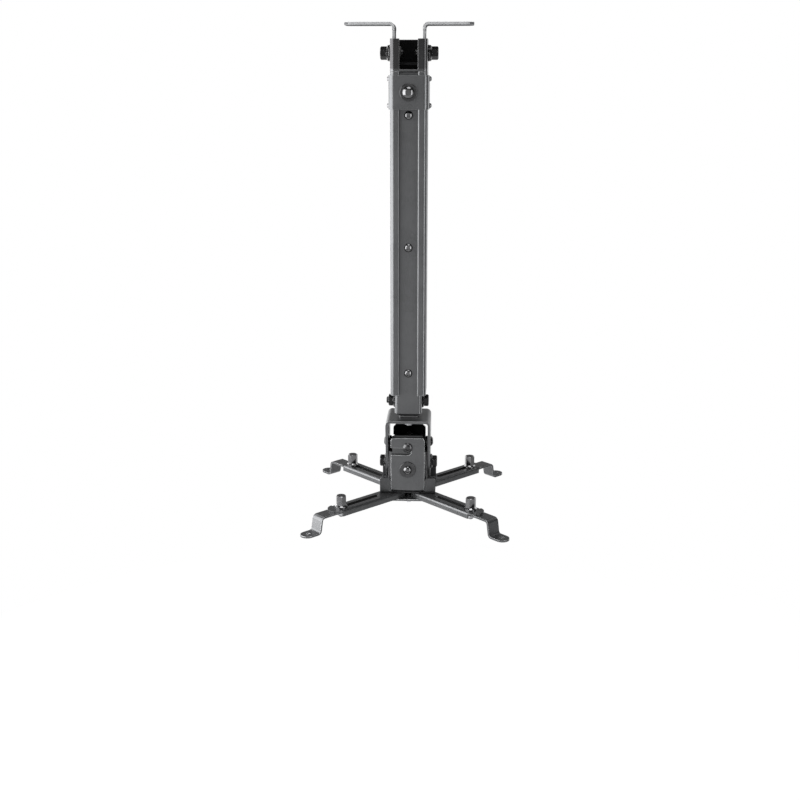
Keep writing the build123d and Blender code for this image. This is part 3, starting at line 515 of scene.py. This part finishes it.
# the hub's rims lighter still: edge wear and painted highlight lines
hub_rim = edge_coat("hub_coat_edge", GRAPHITE, GRAPHITE_EDGE, lighten=0.95, metallic=GRAPHITE_METAL)
tray_shaded_coat = (
    face_coat("tray_shaded_coat", TRAY_SHADE_GREY, gloss=0.34, mottle=MOTTLE, metallic=GRAPHITE_METAL),
    edge_coat("tray_shaded_coat_edge", TRAY_SHADE_GREY, GRAPHITE_EDGE, lighten=0.5, metallic=GRAPHITE_METAL),
)
edged_copy("hub_bracket", HUB_EDGE, (graphite_face, hub_rim))
edged_copy("hub_tray", HUB_EDGE, tray_shaded_coat)
edged_copy("hub_plate", HUB_EDGE, (graphite_face, hub_rim))
for node_name in ("hub_bolt", "hub_nut", "hub_spacer", "arm_pivots"):
    edged_copy(node_name, HEAD_EDGE, (zinc,))


# Arms and legs. Four slotted channels, flat black inside as painted shade, that swing on the pins, and a
# Z-shaped leg clamped under each by a tall hex flange bolt in black nickel and a zinc-plated nut, so that the
# feet reach any pattern of holes in a projector's underside.
NICKEL_BLACK = (0.19, 0.19, 0.194, 1)
leg_bolt = metal_finish("black_nickel", NICKEL_BLACK, gloss=0.12, stain=0.15, metallic=1.0)
arm_coat = (graphite_face, painted_shade, graphite_rim)
for quarter, turn in (("front_right", -45), ("back_right", 45), ("back_left", 135), ("front_left", 225)):
    across = Vector((-sin(radians(turn)), cos(radians(turn)), 0))
    arm = edged_copy(f"arm_{quarter}", SHEET_EDGE, arm_coat)
    # painted shade: flat black on the channel's inside and underside faces
    repaint(arm, lambda spot, normal: spot.dot(across) * normal.dot(across) < -MM or normal.z < -SQUARE_ON)
    edged_copy(f"leg_{quarter}", SHEET_EDGE, graphite_coat)
    edged_copy(f"leg_bolt_{quarter}", HEAD_EDGE, (leg_bolt, bolt_rim_worn_and_lit))
    edged_copy(f"leg_nut_{quarter}", HEAD_EDGE, (zinc,))


# Studio. A pale floor well below the mount, which hangs free as it does from a ceiling. Floor and world are
# white to the camera. Reflections show them darker to the right, and the world also darker to the front and
# above, and the world lights the mount at a plain level.
FLOOR_Z = -1.05
FLOOR_HALF = 60
FLOOR_WHITE = (0.92, 0.92, 0.92, 1)
WORLD_LIGHT = 0.4
FRONT_SHARE = 0.50          # world's light from the front, where the studio is dark
RIGHT_SHARE = 0.45          # the same from the right
UP_SHARE = 0.2              # and from above the backdrop
FRONT_FADE = (-0.75, 0.1)   # directions between which the world's light changes
RIGHT_FADE = (0.1, 0.7)
UP_FADE = (0.08, 0.25)
FLOOR_FADE = (0.1, 1.5)     # metres to the right, on the floor
SHADOW_SHARE = 0.35         # part of the floor's brightness that takes the shadow, under the mount
SHADOW_FADE = (0.2, 1.0)    # metres from there to where it takes none


def seen_directly(tree):
    """1 for camera and transmission rays, 0 for others, and the same for glossy rays."""
    path = tree.nodes.new("ShaderNodeLightPath")
    seen = combine(tree, "MAXIMUM", path.outputs["Is Camera Ray"], path.outputs["Is Transmission Ray"])
    return seen, path.outputs["Is Glossy Ray"]


bpy.ops.object.select_all(action="DESELECT")
bpy.ops.mesh.primitive_plane_add(size=2 * FLOOR_HALF, location=(0, 0, FLOOR_Z))
floor = bpy.context.active_object
floor.name = "floor"
floor_white, tree, shader = new_material("floor_white", specular=0.0)
shader.inputs["Base Color"].default_value = FLOOR_WHITE
shader.inputs["Roughness"].default_value = 0.9
spot = tree.nodes.new("ShaderNodeTexCoord")
axes = tree.nodes.new("ShaderNodeSeparateXYZ")
tree.links.new(spot.outputs["Object"], axes.inputs["Vector"])
reach = tree.nodes.new("ShaderNodeVectorMath")
reach.operation = "LENGTH"
tree.links.new(spot.outputs["Object"], reach.inputs[0])
bare = spread(tree, reach.outputs["Value"], 1 - SHADOW_SHARE, 1, *SHADOW_FADE)
seen, mirrored = seen_directly(tree)
dimmed = combine(tree, "MULTIPLY", mirrored, spread(tree, axes.outputs["X"], 1, RIGHT_SHARE, *FLOOR_FADE))
glow = tree.nodes.new("ShaderNodeEmission")
tree.links.new(combine(tree, "MAXIMUM", seen, dimmed), glow.inputs["Strength"])
blend = tree.nodes.new("ShaderNodeMixShader")
glowing = combine(tree, "MULTIPLY", combine(tree, "MAXIMUM", seen, mirrored), bare)
tree.links.new(glowing, blend.inputs["Fac"])
tree.links.new(shader.outputs["BSDF"], blend.inputs[1])
tree.links.new(glow.outputs["Emission"], blend.inputs[2])
tree.links.new(blend.outputs["Shader"], tree.nodes["Material Output"].inputs["Surface"])
floor.data.materials.append(floor_white)

world = bpy.data.worlds.new("studio")
bpy.context.scene.world = world
world.use_nodes = True
tree = world.node_tree
towards = tree.nodes.new("ShaderNodeTexCoord")
axes = tree.nodes.new("ShaderNodeSeparateXYZ")
tree.links.new(towards.outputs["Generated"], axes.inputs["Vector"])
room = spread(tree, axes.outputs["Y"], FRONT_SHARE, 1, *FRONT_FADE)
room = combine(tree, "MULTIPLY", room, spread(tree, axes.outputs["X"], 1, RIGHT_SHARE, *RIGHT_FADE))
room = combine(tree, "MULTIPLY", room, spread(tree, axes.outputs["Z"], 1, UP_SHARE, *UP_FADE))
seen, mirrored = seen_directly(tree)
level = combine(tree, "ADD", combine(tree, "MULTIPLY", mirrored, 1 - WORLD_LIGHT), WORLD_LIGHT)
strength = combine(tree, "MAXIMUM", seen, combine(tree, "MULTIPLY", level, room))
tree.links.new(strength, tree.nodes["Background"].inputs["Strength"])
tree.nodes["Background"].inputs["Color"].default_value = (1, 1, 1, 1)


def softbox(name, place, aim, width, height, power):
    """A rectangular studio lamp turned to a point."""
    bpy.ops.object.select_all(action="DESELECT")
    bpy.ops.object.light_add(type="AREA", location=place)
    lamp = bpy.context.active_object
    lamp.name = name
    lamp.rotation_euler = (Vector(aim) - Vector(place)).to_track_quat("-Z", "Y").to_euler()
    lamp.data.shape = "RECTANGLE"
    lamp.data.size = width
    lamp.data.size_y = height
    lamp.data.energy = power


COLUMN_AIM = (0, 0, -0.2)
MOUNT_AIM = (0, 0, -0.3)
softbox("key_left", (-1.22, -0.445, -0.06), COLUMN_AIM, width=2.2, height=1.6, power=66)
softbox("back_left", (-0.85, 1.0, -0.2), MOUNT_AIM, width=0.7, height=1.6, power=10)
softbox("back_right", (0.95, 0.9, -0.2), MOUNT_AIM, width=0.7, height=1.6, power=7)
softbox("strip_right", (1.0, -0.84, -0.2), MOUNT_AIM, width=0.45, height=1.5, power=11)
softbox("top", (0.1, -0.4, 1.3), MOUNT_AIM, width=1.0, height=1.0, power=12)


# Camera. In front, a little to the right and at the height of the column's top, looking down. A small
# shift keeps the mount in the frame when its column is drawn out.
CAMERA_PLACE = (0.0570, -1.3464, -0.0634)
CAMERA_PITCH = 14.02        # degrees below the horizon
CAMERA_YAW = 2.88           # degrees to the left of straight on
CAMERA_LENS = 51.17
CAMERA_SENSOR = 36
CAMERA_SHIFT = -0.045
bpy.ops.object.camera_add(location=CAMERA_PLACE)
camera = bpy.context.active_object
camera.rotation_euler = Euler((radians(90 - CAMERA_PITCH), 0, radians(CAMERA_YAW)))
camera.data.lens = CAMERA_LENS
camera.data.sensor_width = CAMERA_SENSOR
camera.data.shift_y = CAMERA_SHIFT
bpy.context.scene.camera = camera
